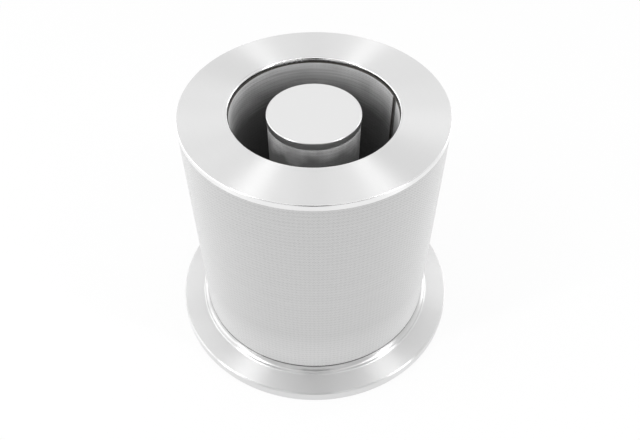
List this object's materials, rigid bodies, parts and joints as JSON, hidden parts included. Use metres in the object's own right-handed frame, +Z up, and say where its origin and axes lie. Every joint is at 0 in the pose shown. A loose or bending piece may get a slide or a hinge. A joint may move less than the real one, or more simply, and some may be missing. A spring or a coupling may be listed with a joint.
{
  "type": "sintered filter element",
  "caption": "Welded filter element: coaxial sintered mesh walls under a flat end ring, a capped mesh post in the open well, and a turned base flange.",
  "frame": {"origin": "centre of the base flange's flat underside", "axes": "+Z up the axis of the walls, towards the top ring and the post cap; -Y is the front, and the inner wall's lengthwise weld is at the right, a little behind +X"},
  "size_m": [0.1606, 0.1606, 0.1375],
  "materials": {
    "turned_steel": "fine turned stainless steel with concentric tool marks",
    "ground_steel": "even matt ground stainless steel",
    "sintered_mesh": "sintered stainless wire cloth, fine matt weave",
    "weld_metal": "smooth bright weld bead"
  },
  "bodies": {
    "root": {"top_ring": "turned_steel", "outer_wall": "sintered_mesh", "outer_wall_seam": "weld_metal", "inner_wall": "sintered_mesh", "inner_wall_seam": "weld_metal", "bore_weld": "weld_metal", "post_wall": "sintered_mesh", "post_wall_seam": "weld_metal", "post_cap": "ground_steel", "well_floor": "turned_steel", "base_flange": "turned_steel"}
  },
  "joints": []
}
